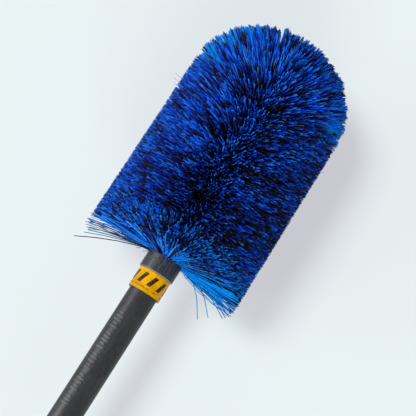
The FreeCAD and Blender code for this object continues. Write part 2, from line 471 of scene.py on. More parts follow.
@dataclass(frozen=True)
class LabelFilm(Finish):
    """Amber film with slanted black bars, a row of ticks and a lapped seam."""

    axis_height: float
    radius: float
    rear: float
    front: float
    amber: Colour = (0.50, 0.228, 0.0008)
    gold: Colour = (0.71, 0.352, 0.0015)
    ink: Colour = (0.010, 0.010, 0.012)
    edge: Colour = (0.34, 0.15, 0.004)
    bar_pitch: float = 0.0086
    bar_share: float = 0.39
    bar_half_height: float = 0.0042
    bar_slant: float = 0.42
    bar_phase: float = 40.3
    bar_offset: float = 0.0011
    bar_ranks: Cloud = Cloud(2.0, 0.0)
    bar_rank_gain: float = 0.35
    tick_pitch: float = 0.00125
    tick_phase: float = 60.1
    tick_share: float = 0.55
    tick_offset: float = -0.0052
    tick_half_height: float = 0.00055
    tick_gaps: Cloud = Cloud(260.0, 1.0)
    wear: Cloud = Cloud(1500.0, 3.0, 0.7)
    wear_span: Span = (0.3, 0.42)
    fades: Cloud = Cloud(150.0, 5.0, 0.6)
    fade_span: Span = (0.3, 0.7)
    rim_span: Span = (0.00012, 0.0006)
    seam_angle: float = 1.92
    seam_half_angle: float = 0.02
    seam_depth: float = 0.00012
    creases: Cloud = Cloud(120.0, 4.0, 0.6, (1.0, 3.0, 3.0))
    crease_depth: float = 0.0002
    specular: float = 0.14
    sheen_tint: Colour = (1.0, 0.62, 0.10)

    def shader(self, board: Board) -> Signal:
        """Wires the shader.

        Args:
            board: The material's board.

        Returns:
            The shader.
        """
        place = board.place()
        along, across, height = board.axes(place)
        turn = across.angle(height - self.axis_height)
        arc = turn * self.radius
        middle = (self.rear + self.front) / 2.0
        offset = along - middle
        slanted = (arc + offset * self.bar_slant) / self.bar_pitch + self.bar_phase
        line = board.node("ShaderNodeCombineXYZ", inputs={0: slanted})
        fat = self.bar_share + self.bar_rank_gain * (board.noise(line, self.bar_ranks) - 0.5)
        bars = slanted.fraction() < fat
        bars = bars * (abs(offset - self.bar_offset) < self.bar_half_height)
        ticks = (arc / self.tick_pitch + self.tick_phase).fraction() < self.tick_share
        ticks = ticks * (abs(offset - self.tick_offset) < self.tick_half_height)
        ticks = ticks * (board.noise(place, self.tick_gaps) > 0.5)
        ink = (bars + ticks) * board.noise(place, self.wear).eased(*self.wear_span)
        cloud = board.noise(place, self.fades).eased(*self.fade_span)
        film = board.mix(self.amber, self.gold, cloud)
        from_edge = (self.front - self.rear) / 2.0 - abs(offset)
        rim = from_edge.eased(*self.rim_span, 1.0, 0.0)
        seam = abs(turn - self.seam_angle) < self.seam_half_angle
        film = board.mix(film, self.edge, rim * 0.7 + seam * 0.6)
        colour = board.mix(film, self.ink, ink)
        relief = board.bump(board.noise(place, self.creases), self.crease_depth, 0.35)
        relief = board.bump(turn > self.seam_angle, self.seam_depth, 0.6, relief)
        return board.node("ShaderNodeBsdfPrincipled", inputs={
            "Base Color": colour,
            "Roughness": 0.30 + 0.14 * cloud + 0.12 * ink,
            "Normal": relief,
            "Coat Weight": 0.03 - 0.015 * ink,
            "Coat Roughness": 0.25,
            "Specular IOR Level": self.specular,
            "Specular Tint": self.sheen_tint,
        })


@dataclass(frozen=True)
class SpringWire(Finish):
    """Galvanised steel with draw marks and dull patches."""

    bright: Colour = (0.52, 0.53, 0.54)
    dull: Colour = (0.23, 0.235, 0.24)
    roughness: float = 0.30
    marks: Cloud = Cloud(400.0, 4.0, 0.65, (0.25, 4.0, 4.0))
    mark_depth: float = 0.00004
    patches: Cloud = Cloud(170.0, 5.0, 0.6)
    patch_span: Span = (0.38, 0.66)

    def shader(self, board: Board) -> Signal:
        """Wires the shader.

        Args:
            board: The material's board.

        Returns:
            The shader.
        """
        place = board.place()
        marks = board.noise(place, self.marks)
        patches = board.noise(place, self.patches).eased(*self.patch_span)
        return board.node("ShaderNodeBsdfPrincipled", inputs={
            "Base Color": board.mix(self.bright, self.dull, patches),
            "Metallic": 1.0,
            "Roughness": self.roughness + 0.25 * patches,
            "Normal": board.bump(marks, self.mark_depth, 0.5),
        })


@dataclass(frozen=True)
class SoftRubber(Finish):
    """Matt moulded rubber with bloom."""

    body: Colour
    bloom: Colour
    roughness: float = 0.62
    specular: float = 0.3
    dusts: Cloud = Cloud(380.0, 6.0, 0.65)
    dust_span: Span = (0.42, 0.75)
    grains: Cloud = Cloud(3100.0, 2.0)
    grain_depth: float = 0.00005

    def shader(self, board: Board) -> Signal:
        """Wires the shader.

        Args:
            board: The material's board.

        Returns:
            The shader.
        """
        place = board.place()
        dust_and_shade = board.noise(place, self.dusts).eased(*self.dust_span)
        return board.node("ShaderNodeBsdfPrincipled", inputs={
            "Base Color": board.mix(self.body, self.bloom, dust_and_shade * 0.6),
            "Roughness": self.roughness + 0.2 * dust_and_shade,
            "Normal": board.bump(board.noise(place, self.grains), self.grain_depth, 0.5),
            "Specular IOR Level": self.specular,
        })


@dataclass(frozen=True)
class PaleFloor(Finish):
    """The even pale table that the brush lies on."""

    name: str = "pale_floor"
    table: Colour = (0.68, 0.86, 0.785)
    even: Colour = (0.79, 0.75, 0.835)
    even_share: float = 0.60

    def shader(self, board: Board) -> Signal:
        """Wires the shader.

        Args:
            board: The material's board.

        Returns:
            The shader.
        """
        table = board.node("ShaderNodeBsdfDiffuse", inputs={"Color": self.table})
        glow = board.node("ShaderNodeEmission", inputs={"Color": self.even, "Strength": 1.0})
        share = board.seen() * self.even_share
        return board.node("ShaderNodeMixShader", inputs={0: share, 1: table, 2: glow})


# ---- the brush's frame -----------------------------------------------------------------------
@dataclass(frozen=True)
class Flex:
    """One sprung hinge of the stem."""

    rear_body: str
    front_body: str
    pivot: float


@dataclass(frozen=True)
class BrushFrame:
    """Where the brush's parts are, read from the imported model. Stations start at the mouth."""

    mouth: float
    axis_height: float
    head_radius: float
    head_length: float
    row_stations: tuple[float, ...]
    flexes: tuple[Flex, ...]
    dome_height: float = 54.0 * MM
    blend_half: float = 12.5 * MM

    @classmethod
    def read(cls, frame: Mapping) -> "BrushFrame":
        """Reads the places from the frame.


        Returns:
            The brush's places.
        """
        low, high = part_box("ferrule")
        mouth = high.x
        rows = sorted(n for n in frame["nodes"] if n.startswith("filament_row_"))
        centres = []
        for name in rows[1:]:
            rear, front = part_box(name)
            centres.append((rear.x + front.x) / 2.0 - mouth)
        pitch = centres[1] - centres[0]
        row_low, row_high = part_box(rows[1])
        flexes = tuple(
            Flex(j["parent"], j["child"], j["pos_m"][0] - mouth) for j in frame["joints"]
        )
        return cls(
            mouth=mouth,
            axis_height=(low.z + high.z) / 2.0,
            head_radius=(row_high.y - row_low.y) / 2.0,
            head_length=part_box("tip_tuft")[1].x - mouth,
            row_stations=(centres[0] - pitch, *centres),
            flexes=flexes,
        )

    @property
    def straight_length(self) -> float:
        """The length of the head's straight part."""
        return self.head_length - self.dome_height

    def nearest_flex(self, station: float) -> Flex:
        """The hinge that is nearest to a station."""
        return min(self.flexes, key=lambda flex: abs(flex.pivot - station))

    def place(self, stations: np.ndarray, radii: np.ndarray, turns: np.ndarray) -> np.ndarray:
        """Turns brush coordinates into points.

        Args:
            stations: Distances from the mouth along the axis.
            radii: Distances from the axis.
            turns: Angles about the axis from straight up, positive towards +Y.

        Returns:
            An array of points.
        """
        across = radii * np.sin(turns)
        height = self.axis_height + radii * np.cos(turns)
        return np.stack([self.mouth + stations, across, height], axis=1)

    def bend_with(self, obj: bpy.types.Object, flex: Flex) -> None:
        """Bakes a piece's place into its mesh; it doesn't bend the piece.

        Args:
            obj: The finished piece.
            flex: The hinge; not used.
        """
        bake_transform(obj)


def new_object(name: str, mesh: bpy.types.Mesh, finish: bpy.types.Material) -> bpy.types.Object:
    """Puts a mesh in the scene.

    Args:
        name: The piece's name.
        mesh: Its mesh, already in place.
        finish: Its material.

    Returns:
        The new object.
    """
    mesh.name = name
    mesh.materials.clear()
    mesh.materials.append(finish)
    obj = bpy.data.objects.new(name, mesh)
    bpy.context.scene.collection.objects.link(obj)
    LOG.info("%s: %d faces", name, len(mesh.polygons))
    return obj


def mesh_from(bm: bmesh.types.BMesh, name: str, smooth: bool = True) -> bpy.types.Mesh:
    """Turns a bmesh into a mesh and frees it.

    Args:
        bm: The finished bmesh.
        name: The mesh's name.
        smooth: Whether its faces are shaded smooth.

    Returns:
        The mesh.
    """
    for face in bm.faces:
        face.smooth = smooth
    mesh = bpy.data.meshes.new(name)
    bm.to_mesh(mesh)
    bm.free()
    return mesh


# ---- filaments -------------------------------------------------------------------------------
class Lay(Enum):
    """How the filaments of a row stand."""

    BASE = "base"
    STRAIGHT = "straight"
    FAN = "fan"
    TUFT = "tuft"


@dataclass
class Filaments:
    """Filaments as numbers: where each starts and ends, how it bows, its tone and its light."""

    roots: np.ndarray
    tips: np.ndarray
    bows: np.ndarray
    tones: np.ndarray
    radii: np.ndarray
    open_shares: np.ndarray

    def joined(self, other: "Filaments") -> "Filaments":
        """These filaments and the other ones."""
        pairs = zip(vars(self).values(), vars(other).values())
        return Filaments(*(np.concatenate(pair) for pair in pairs))

    @classmethod
    def loose(cls, brush: BrushFrame, roots: Spots, tips: Spots, bows: np.ndarray,
              tones: np.ndarray, radius: float, open_share: float) -> "Filaments":
        """Filaments of one thickness that are placed one by one.

        Args:
            brush: The brush's places.
            roots: The roots' stations, radii and turns, each as an array or as one number.
            tips: The same for the tips.
            bows: How far and which way each bows.
            tones: Their tones.
            radius: Their own radius.
            open_share: How far in the open they stand, as "reach" has it at their roots. It lifts
                their painted root shade, and above 1 paints them azure.

        Returns:
            The filaments.
        """
        amount = len(tones)
        starts, ends = (
            brush.place(*(np.broadcast_to(part, amount) for part in spots))
            for spots in (roots, tips)
        )
        return cls(starts, ends, bows, tones, np.full(amount, radius),
                   np.full(amount, open_share))


def mostly_blue(rng: np.random.Generator, amount: int, black_share: float, black: float,
                blues: Span) -> np.ndarray:
    """Random tones, of which a few are black."""
    is_black = rng.uniform(0.0, 1.0, amount) < black_share
    return np.where(is_black, black, rng.uniform(*blues, amount))


@dataclass
class FilamentLoom:
    """Makes meshes of many thin filaments."""

    sides: int = 3
    bends: int = 3
    tip_taper: float = 0.8
    off_axis: tuple[float, float, float] = (0.31, 0.52, 0.79)
    bundles: dict[int, bpy.types.Mesh] = field(default_factory=dict)

    def bundle(self, count: int) -> bpy.types.Mesh:
        """A mesh of that many equal upright filaments, each numbered by its vertices.

        Args:
            count: How many filaments there are.

        Returns:
            The mesh, with the whole number attribute "number".
        """
        if count not in self.bundles:
            bm = bmesh.new()
            number = bm.verts.layers.int.new("number")
            bmesh.ops.create_cone(bm, segments=self.sides, radius1=1.0, radius2=self.tip_taper,
                                  depth=1.0, cap_ends=True)
            bmesh.ops.translate(bm, verts=bm.verts, vec=(0.0, 0.0, 0.5))
            long_edges = [e for e in bm.edges if abs(e.verts[0].co.z - e.verts[1].co.z) > 0.5]
            bmesh.ops.subdivide_edges(bm, edges=long_edges, cuts=self.bends,
                                      use_grid_fill=False)
            made = 1
            while made < count:
                taken = min(made, count - made)
                faces = [f for f in bm.faces if f.verts[0][number] < taken]
                copies = bmesh.ops.duplicate(bm, geom=faces)["geom"]
                for part in copies:
                    if isinstance(part, bmesh.types.BMVert):
                        part[number] += made
                made += taken
            self.bundles[count] = mesh_from(bm, f"bundle_{count}")
        return self.bundles[count].copy()

    def weave(self, strands: Filaments) -> bpy.types.Mesh:
        """Bends a bundle to the given filaments.

        Args:
            strands: Where the filaments are.

        Returns:
            Their mesh.
        """
        count = len(strands.roots)
        mesh = self.bundle(count)
        size = len(mesh.vertices)
        which = np.zeros(size, np.int32)
        mesh.attributes["number"].data.foreach_get("value", which)
        local = np.zeros(size * 3, np.float32)
        mesh.vertices.foreach_get("co", local)
        local = local.reshape(-1, 3).astype(float)
        along = local[:, 2:3]
        run = (strands.tips - strands.roots)[which]
        bow = strands.bows[which]
        centre = strands.roots[which] + run * along + bow * (4.0 * along * (1.0 - along))
        forward = unit(run + bow * (4.0 - 8.0 * along))
        aside = unit(np.cross(forward, np.array(self.off_axis)))
        up = np.cross(forward, aside)
        thick = strands.radii[which][:, None]
        placed = centre + (aside * local[:, 0:1] + up * local[:, 1:2]) * thick
        mesh.vertices.foreach_set("co", placed.astype(np.float32).ravel())
        mesh.attributes.remove(mesh.attributes["number"])
        self._mark(mesh, "tone", strands.tones[which])
        # Painted light: open_share raises "reach" from the root, which lifts the painted root shade
        # and, above 1, paints the filament azure.
        open_share = strands.open_shares[which]
        closed = np.maximum(1.0 - open_share, 0.0)
        self._mark(mesh, "reach", open_share + closed * local[:, 2])
        mesh.update()
        return mesh

    @staticmethod
    def _mark(mesh: bpy.types.Mesh, name: str, values: np.ndarray) -> None:
        """Stores one number for each vertex under a name."""
        attribute = mesh.attributes.new(name, "FLOAT", "POINT")
        attribute.data.foreach_set("value", values.astype(np.float32))


def unit(vectors: np.ndarray) -> np.ndarray:
    """The vectors, each made one long."""
    return vectors / np.linalg.norm(vectors, axis=1, keepdims=True)


@dataclass
class FilamentRow:
    """One row of filaments, which stands for one CAD row.

    The lit side is the one towards +Y, the dull side the other. What ends in _tone, _lift or
    _drop shifts tones, and a blue shift leaves the black filaments, up to black_tone, alone. The
    shifts by side, by the dome's rim and on the base are painted light and shade.
    """

    brush: BrushFrame
    node: str
    lay: Lay
    station: float
    count: int
    lean_deg: Span
    seed: int
    spread: float = 6.2 * MM
    root_widening: float = 1.9
    root_radius: float = 3.4 * MM
    root_scatter: float = 0.35
    root_depth: float = 0.6 * MM
    tip_scatter: float = 0.75
    base_root_radius: float = 8.6 * MM
    tuft_root_radius: float = 4.4 * MM
    shortest_share: float = 0.2
    filament_radius: float = 0.35 * MM
    turn_scatter: float = 0.03
    lock_pitch: float = 2.7 * MM
    lock_pull: float = 0.5
    lock_tone: float = 0.60
    trim_proud: float = 0.9 * MM
    trim_scatter: float = 1.0 * MM
    bow_scatter: float = 0.6 * MM
    floor_clearance: float = 0.4 * MM
    open_share: float = 0.0
    patch_pitch: float = 9.0 * MM
    patch_tone: float = 0.11
    patch_radius: float = 63.0 * MM
    lock_wobble: float = 0.35
    lit_side_tone: float = 0.12
    rim_tone: float = 0.6
    black_tone: float = 0.31
    partings: tuple[tuple[float, float], ...] = (
        (22.0, 2.0), (45.0, 0.9), (54.0, 0.9), (63.0, 0.8), (33.0, 0.6), (-13.0, 0.6),
        (-37.0, 0.8), (-55.0, 0.7), (72.0, 0.7), (4.0, 0.6),
    )
    notch_pitch_deg: float = 2.4
    notch_depth: float = 0.065
    notch_proud: float = 0.012
    notch_reach_deg: float = 96.0
    notch_dull_share: float = 0.6
    notch_seed: int = 71
    parting_near: float = 2.5
    parting_squeeze: float = 0.6
    parting_root: float = 6.0 * MM
    parting_lean_deg: float = 11.0
    crest_tone: float = 0.0
    # Painted light and shade by side, base and rim: these numbers down to rim_side_gain, with
    # lit_side_tone and rim_tone above.
    dull_side_tone: float = 0.15
    straight_lit_drop: float = 0.06
    base_lit_drop: float = 0.22
    base_dull_drop: float = 0.16
    base_blue_lift: float = 0.14
    base_blue_outer_lift: float = 0.20
    base_blue_lit_drop: float = 0.03
    base_blue_dull_lift: float = 0.55
    base_outer_lean_deg: float = 15.0
    base_dull_top: float = 0.25
    base_closed_share: float = 0.15
    dome_lift: float = 0.12
    dome_side_gain: float = 0.6
    rim_side_gain: float = 0.15
    base_lean_deg: float = 5.0
    base_lean_over_deg: float = 7.0
    base_lean_under_deg: float = 24.0
    base_lean_dull_deg: Span = (-6.0, 11.0)

    def strands(self) -> Filaments:
        """Works out where the row's filaments are.

        Returns:
            The filaments.
        """
        rng = np.random.default_rng(self.seed)
        amount = self.count
        turns = rng.uniform(-math.pi, math.pi, amount)
        scatter = self.root_scatter
        roots = self.station + rng.uniform(-scatter, scatter, amount) * self.spread
        radii = self.root_radius + rng.uniform(0.0, self.root_depth, amount)
        leans = self._leans(rng, turns, amount)
        offsets = np.zeros(amount)
        if self.lay is Lay.STRAIGHT:
            roots = self.station + (roots - self.station) * self.root_widening
            scatter = self.tip_scatter
            offsets = rng.uniform(-scatter, scatter, amount) * self.spread
        if self.lay is Lay.BASE:
            radii = rng.uniform(0.45, 1.0, amount) * self.base_root_radius
            roots = rng.uniform(-1.2, 1.6, amount) * MM
        if self.lay is Lay.TUFT:
            radii = rng.uniform(0.0, self.tuft_root_radius, amount)
        ends, reaches = self._trimmed(roots, radii, leans)
        ends = ends + offsets
        end_turns = turns + rng.normal(0.0, self.turn_scatter, amount)
        ends, end_turns, locks = self._gathered(rng, ends, reaches, end_turns)
        short = np.abs(rng.normal(0.0, self.trim_scatter, amount))
        reaches = np.maximum(reaches + self.trim_proud - short, self.shortest_share * reaches)
        tips = self.brush.place(ends, reaches, end_turns)
        if self.lay in (Lay.FAN, Lay.TUFT):
            self._part(tips)
        tips[:, 2] = np.maximum(tips[:, 2], self.floor_clearance)
        starts = self.brush.place(roots, radii, turns)
        bows = rng.normal(0.0, self.bow_scatter, (amount, 3))
        along = unit(tips - starts)
        bows -= along * np.sum(bows * along, axis=1, keepdims=True)
        tones = rng.uniform(0.0, 1.0, amount) + self._lock_tones(ends, end_turns, locks)
        thick = self.filament_radius * rng.uniform(0.8, 1.2, amount)
        # Painted light: open_share lifts the painted root shade; on the base it is lower away from
        # the dull side, whose filaments are painted more azure.
        open_shares = np.full(amount, self.open_share)
        if self.lay is Lay.BASE:
            open_shares -= self.base_closed_share * (1.0 - np.maximum(-np.sin(turns), 0.0))
        return Filaments(starts, tips, bows, self._shaded(tones, turns, leans), thick,
                         open_shares)

    def _shaded(self, tones: np.ndarray, turns: np.ndarray, leans: np.ndarray) -> np.ndarray:
        """Paints light and shade into the tones by the side of the head that the filaments are on.

        Args:
            tones: The filaments' own tones.
            turns: Their angles about the axis.
            leans: Their forward leans.

        Returns:
            The tones with the painted light and shade.
        """
        aside, facing = np.sin(turns), np.cos(turns)
        lit, dull = np.maximum(aside, 0.0), np.maximum(-aside, 0.0)
        top = np.ones(len(tones))
        if self.lay is Lay.STRAIGHT:
            tones = tones - self.crest_tone * np.maximum(facing, 0.0) ** 2
            # Painted light and shade: the lit side a little darker; the dull side darker, or
            # lighter where dull_side_tone is negative.
            tones -= self.straight_lit_drop * lit
            tones -= self.dull_side_tone * dull * (tones > self.black_tone)
        elif self.lay is Lay.BASE:
            # Painted light and shade: the base darker on both sides, its blue filaments lighter on
            # its outer and dull parts, and its dull side up to azure.
            outer = np.clip(1.0 - np.degrees(leans) / self.base_outer_lean_deg, 0.0, 1.2)
            tones = tones - (self.base_lit_drop * lit + self.base_dull_drop * dull)
            blue = self.base_blue_lift + self.base_blue_outer_lift * outer
            blue = blue + self.base_blue_dull_lift * dull - self.base_blue_lit_drop * lit
            tones += blue * (tones > self.black_tone)
            top += self.base_dull_top * dull
        else:
            # Painted light: the dome's rim and its lit side paler, up to azure at the rim.
            flat = (1.0 - (facing * np.cos(leans)) ** 2) ** 3
            rim = self.rim_tone * flat * (1.0 + self.rim_side_gain * (aside - 1.0))
            tones = tones + self.dome_lift * flat
            blue = self.lit_side_tone * (1.0 + self.dome_side_gain * aside) + rim
            tones += blue * (tones > self.black_tone)
            top += rim
        return np.clip(tones, 0.0, top)

    def _lock_tones(self, ends: np.ndarray, turns: np.ndarray, locks: np.ndarray) -> np.ndarray:
        """How much lighter or darker each filament is for its lock and its patch.

        Args:
            ends: The tips' stations.
            turns: The tips' angles.
            locks: Each filament's lock number.

        Returns:
            The shifts of tone.
        """
        table = np.random.default_rng(self.seed // 1000).normal(0.0, 1.0, (2, TABLE_SIZE))
        around = np.floor(turns * self.patch_radius / self.patch_pitch).astype(int)
        along = np.floor(ends / self.patch_pitch + 0.37 * around).astype(int)
        patches = np.abs(along * PATCH_STEPS[0] + around * PATCH_STEPS[1])
        lock_part = 0.5 * self.lock_tone * table[0, locks % TABLE_SIZE]
        return lock_part + self.patch_tone * table[1, patches % TABLE_SIZE]

    def _leans(self, rng: np.random.Generator, turns: np.ndarray, amount: int) -> np.ndarray:
        """How far each filament leans forward from square to the stem, in radians.

        Args:
            rng: The row's random numbers.
            turns: The filaments' angles about the axis.
            amount: How many filaments there are.

        Returns:
            The leans.
        """
        low, high = self.lean_deg
        if self.lay is Lay.BASE:
            facing = np.cos(turns)
            under = np.sqrt(np.maximum(-facing, 0.0))
            over, side = np.maximum(facing, 0.0), np.maximum(-np.sin(turns), 0.0)
            centre = self.base_lean_deg + self.base_lean_over_deg * over
            centre += self.base_lean_under_deg * under
            centre += side * (self.base_lean_dull_deg[0] + self.base_lean_dull_deg[1] * over)
            spread = (1.0 - 0.3 * np.abs(facing)) * (1.0 - 0.35 * side)
            return np.radians(centre + spread * rng.triangular(low, 1.0, high, amount))
        if self.lay is Lay.STRAIGHT:
            share = np.where(turns < 0.0, np.maximum(np.cos(turns), 0.0) ** 2,
                             0.5 + 0.5 * np.cos(turns))
            middle = (low + high) / 2.0 * share
            scatter = np.clip(rng.normal(0.0, 1.0, amount), -2.0, 2.0)
            return np.radians(middle + scatter * (high - low) / 6.0)
        lifts = np.sin(np.radians([low, high]))
        return np.arcsin(rng.uniform(lifts[0], lifts[1], amount))

    def _trimmed(self, roots: np.ndarray, radii: np.ndarray,
                 leans: np.ndarray) -> tuple[np.ndarray, np.ndarray]:
        """Where filaments meet the head's outline.

        Args:
            roots: The root stations.
            radii: The root radii.
            leans: The forward leans.

        Returns:
            The stations and the radii of the ends.
        """
        outer = self.brush.head_radius
        dome_start = self.brush.straight_length
        side_reach = (outer - radii) / np.maximum(np.cos(leans), 1e-3)
        rise, run = np.cos(leans) / outer, np.sin(leans) / self.brush.dome_height
        from_centre = (roots - dome_start) / self.brush.dome_height
        a = rise * rise + run * run
        b = rise * radii / outer + run * from_centre
        c = (radii / outer) ** 2 + from_centre ** 2 - 1.0
        dome_reach = (-b + np.sqrt(np.maximum(b * b - a * c, 0.0))) / a
        on_side = roots + side_reach * np.sin(leans) <= dome_start
        reach = np.where(on_side, side_reach, dome_reach)
        return roots + reach * np.sin(leans), radii + reach * np.cos(leans)

    def _part(self, tips: np.ndarray) -> None:
        """Opens the narrow partings that run through the dome from top to bottom.

        Args:
            tips: The tips' points, which are moved aside.
        """
        root = self.brush.mouth + self.brush.straight_length + self.parting_root
        above = tips[:, 2] - self.brush.axis_height
        slant = math.tan(math.radians(self.parting_lean_deg)) * above
        ahead, aside = tips[:, 0] - root + slant, tips[:, 1].copy()
        bearing = np.degrees(np.arctan2(aside, ahead))
        length = np.hypot(ahead, aside)
        for centre, half in self.partings:
            off = bearing - centre
            near = np.abs(off) < self.parting_near * half
            pushed = np.where(off < 0.0, -1.0, 1.0) * (half + self.parting_squeeze * np.abs(off))
            bearing = np.where(near, centre + pushed, bearing)
        knots = np.arange(-self.notch_reach_deg, self.notch_reach_deg + 1.0, self.notch_pitch_deg)
        shares = np.random.default_rng(self.notch_seed).uniform(0.0, 1.0, len(knots)) ** 2
        depths = self.notch_depth * shares * np.where(knots > 0.0, 1.0, self.notch_dull_share)
        length *= 1.0 + self.notch_proud - np.interp(bearing, knots, depths)
        tips[:, 0] = root - slant + length * np.cos(np.radians(bearing))
        tips[:, 1] = length * np.sin(np.radians(bearing))

    def _gathered(self, rng: np.random.Generator, ends: np.ndarray, reaches: np.ndarray,
                  turns: np.ndarray) -> tuple[np.ndarray, np.ndarray, np.ndarray]:
        """Draws the tips together into locks.

        Args:
            rng: The row's random numbers.
            ends: The tips' stations.
            reaches: The tips' radii.
            turns: The tips' angles.

        Returns:
            The drawn stations and angles, and each filament's lock number.
        """
        cell = self.lock_pitch
        wide = np.maximum(np.mean(reaches), cell)
        rank = np.floor(ends / cell + 0.5).astype(int)
        shift = (rank % 2) * 0.5
        place = np.floor(turns * wide / cell + shift).astype(int)
        locks = np.abs(rank * LOCK_STEPS[0] + place * LOCK_STEPS[1])
        table = np.random.default_rng(self.seed + 31).uniform(-1.0, 1.0, (TABLE_SIZE, 2))
        wobble = self.lock_wobble * cell * table[locks % TABLE_SIZE]
        centre_x = rank * cell + wobble[:, 0]
        centre_t = ((place - shift + 0.5) * cell + wobble[:, 1]) / wide
        pull = self.lock_pull * rng.uniform(0.4, 1.3, len(ends))
        return ends + (centre_x - ends) * pull, turns + (centre_t - turns) * pull, locks

    def build(self, loom: FilamentLoom, finish: bpy.types.Material,
              extra: Filaments | None = None) -> None:
        """Makes the row.

        Args:
            loom: What makes the mesh.
            finish: The filament material.
            extra: Odd filaments that belong to this row.
        """
        strands = self.strands()
        if extra is not None:
            strands = strands.joined(extra)
        name = self.node.replace("filament_row", "filaments").replace("fan_row", "fan_filaments")
        obj = new_object(name.replace("tip_tuft", "tuft_filaments"), loom.weave(strands), finish)
        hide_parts(self.node)
        self.brush.bend_with(obj, self.brush.nearest_flex(self.station))


@dataclass
class Head:
    """All the filaments, row by row, from the ferrule's mouth to the crown."""

    brush: BrushFrame
    row_count: int = 3000
    base_count: int = 2200
    fan_leans: tuple[tuple[float, float], ...] = ((2.0, 19.0), (19.0, 36.0), (36.0, 54.5),
                                                  (54.5, 77.0))
    fan_counts: tuple[int, ...] = (3500, 3100, 2800, 2000)
    tuft_count: int = 560
    tuft_leans: Span = (77.0, 89.5)
    base_leans: Span = (-17.0, 17.0)
    row_lean_half: float = 11.0
    lean_shares: tuple[float, ...] = (0.0, 0.1, 0.19, 0.42, 0.62, 0.8, 1.0)
    lean_middles: tuple[float, ...] = (8.0, -6.0, -11.5, -11.0, -9.0, -3.0, 5.0)
    crest_shares: tuple[float, ...] = (0.05, 0.15, 0.35, 0.5)
    crest_tones: tuple[float, ...] = (0.0, 0.27, 0.18, 0.0)
    lip_count: int = 16
    rim_count: int = 130
    seed: int = 5117

    def row_lean(self, station: float) -> Span:
        """The range of leans at a station, in degrees.

        Args:
            station: The row's station.

        Returns:
            The lowest and the highest lean.
        """
        share = station / self.brush.straight_length
        middle = float(np.interp(share, self.lean_shares, self.lean_middles))
        return middle - self.row_lean_half, middle + self.row_lean_half

    def crest_tone(self, station: float) -> float:
        """How much darker the filaments on the crest are at a station."""
        share = station / self.brush.straight_length
        return float(np.interp(share, self.crest_shares, self.crest_tones))

    def strays(self) -> Filaments:
        """The odd filaments that stand away from the base.

        Returns:
            The filaments.
        """
        # Each: turn at the root and at the tip in degrees, the tip's station and radius,
        # the bow along the axis and up, the tone.
        shapes = (
            (80, 88, -23.0, 66.0, 2.0, 3.0, 0.10),
            (84, 90, -16.5, 61.5, 1.5, 2.0, 0.97),
            (70, 86, -14.0, 60.0, 1.0, 2.5, 0.20),
            (76, 93, -12.0, 62.5, 2.0, 1.0, 0.99),
            (88, 95, -10.5, 61.0, 1.0, 0.0, 0.90),
            (60, 84, -8.0, 62.0, 1.0, 2.0, 0.15),
            (-70, -118, -23.5, 51.0, 8.0, 6.0, 0.992),
            (-74, -112, -18.5, 55.0, 7.0, 6.0, 0.99),
            (-78, -100, -14.5, 61.0, 4.0, 3.0, 0.95),
            (-72, -98, -13.0, 62.0, 3.5, 3.0, 0.99),
            (-80, -96, -8.5, 63.5, 3.0, 2.0, 0.05),
            (-66, -92, -11.5, 62.5, 3.0, 3.0, 0.99),
            (-60, -88, -7.5, 63.5, 2.0, 2.0, 0.97),
            (-84, -104, -6.0, 62.0, 2.0, 1.0, 0.12),
        )
        turns, ends, stations, radii, forward, up, tones = np.array(shapes, float).T
        return Filaments.loose(
            self.brush, (0.4 * MM, 8.0 * MM, np.radians(turns)),
            (stations * MM, radii * MM, np.radians(ends)),
            np.stack([forward, 0.0 * up, up], axis=1) * MM, tones, 0.48 * MM, open_share=1.3)

    def fringe(self, side: float, amount: int, bow: float) -> Filaments:
        """The loose filaments along the base's outer corner.

        Args:
            side: 1 for the +Y side, -1 for the other.
            amount: How many filaments there are.
            bow: How far they bow forward.

        Returns:
            The filaments.
        """
        rng = np.random.default_rng(self.seed + 7 + int(side))
        turns = side * np.radians(rng.uniform(72.0, 88.0, amount))
        ends = side * np.radians(rng.uniform(80.0, 99.0, amount))
        tips = (rng.uniform(-12.5, -2.0, amount) * MM, rng.uniform(61.0, 65.5, amount) * MM, ends)
        bows = rng.normal(0.0, 1.0, (amount, 3)) * MM
        bows[:, 0] += bow
        tones = mostly_blue(rng, amount, 0.22, 0.08, (0.6, 0.97))
        return Filaments.loose(self.brush, (0.6 * MM, 8.0 * MM, turns), tips, bows, tones,
                               0.33 * MM, open_share=1.27)

    def lip_tuft(self) -> Filaments:
        """The short filaments that are trapped over the ferrule's lip.

        Returns:
            The filaments.
        """
        rng = np.random.default_rng(self.seed + 5)
        amount = self.lip_count
        turns = rng.normal(-0.04, 0.16, amount)
        tips = (rng.uniform(-5.5, -1.0, amount) * MM, rng.uniform(15.2, 18.5, amount) * MM,
                turns * 0.6)
        tones = rng.uniform(0.1, 0.97, amount)
        bows = np.tile((0.0, 0.0, 1.6 * MM), (amount, 1))
        return Filaments.loose(self.brush, (1.6 * MM, 10.5 * MM, turns * 1.7), tips, bows,
                               tones, 0.22 * MM, open_share=0.9)

    def rim_cover(self) -> Filaments:
        """The filaments that stand right at the ferrule's rim and hide a part of it.

        Returns:
            The filaments.
        """
        rng = np.random.default_rng(self.seed + 9)
        amount = self.rim_count
        turns = np.radians(rng.uniform(-72.0, 14.0, amount))
        roots = (rng.uniform(0.35, 1.4, amount) * MM, 8.9 * MM, turns)
        ends = turns + rng.normal(0.0, 0.12, amount)
        tips = (rng.uniform(1.0, 22.0, amount) * MM, rng.uniform(30.0, 60.0, amount) * MM, ends)
        bows = rng.normal(0.0, 0.7, (amount, 3)) * MM
        bows[:, 0] -= 1.2 * MM
        tones = mostly_blue(rng, amount, 0.25, 0.1, (0.5, 0.98))
        return Filaments.loose(self.brush, roots, tips, bows, tones, 0.34 * MM, open_share=1.2)

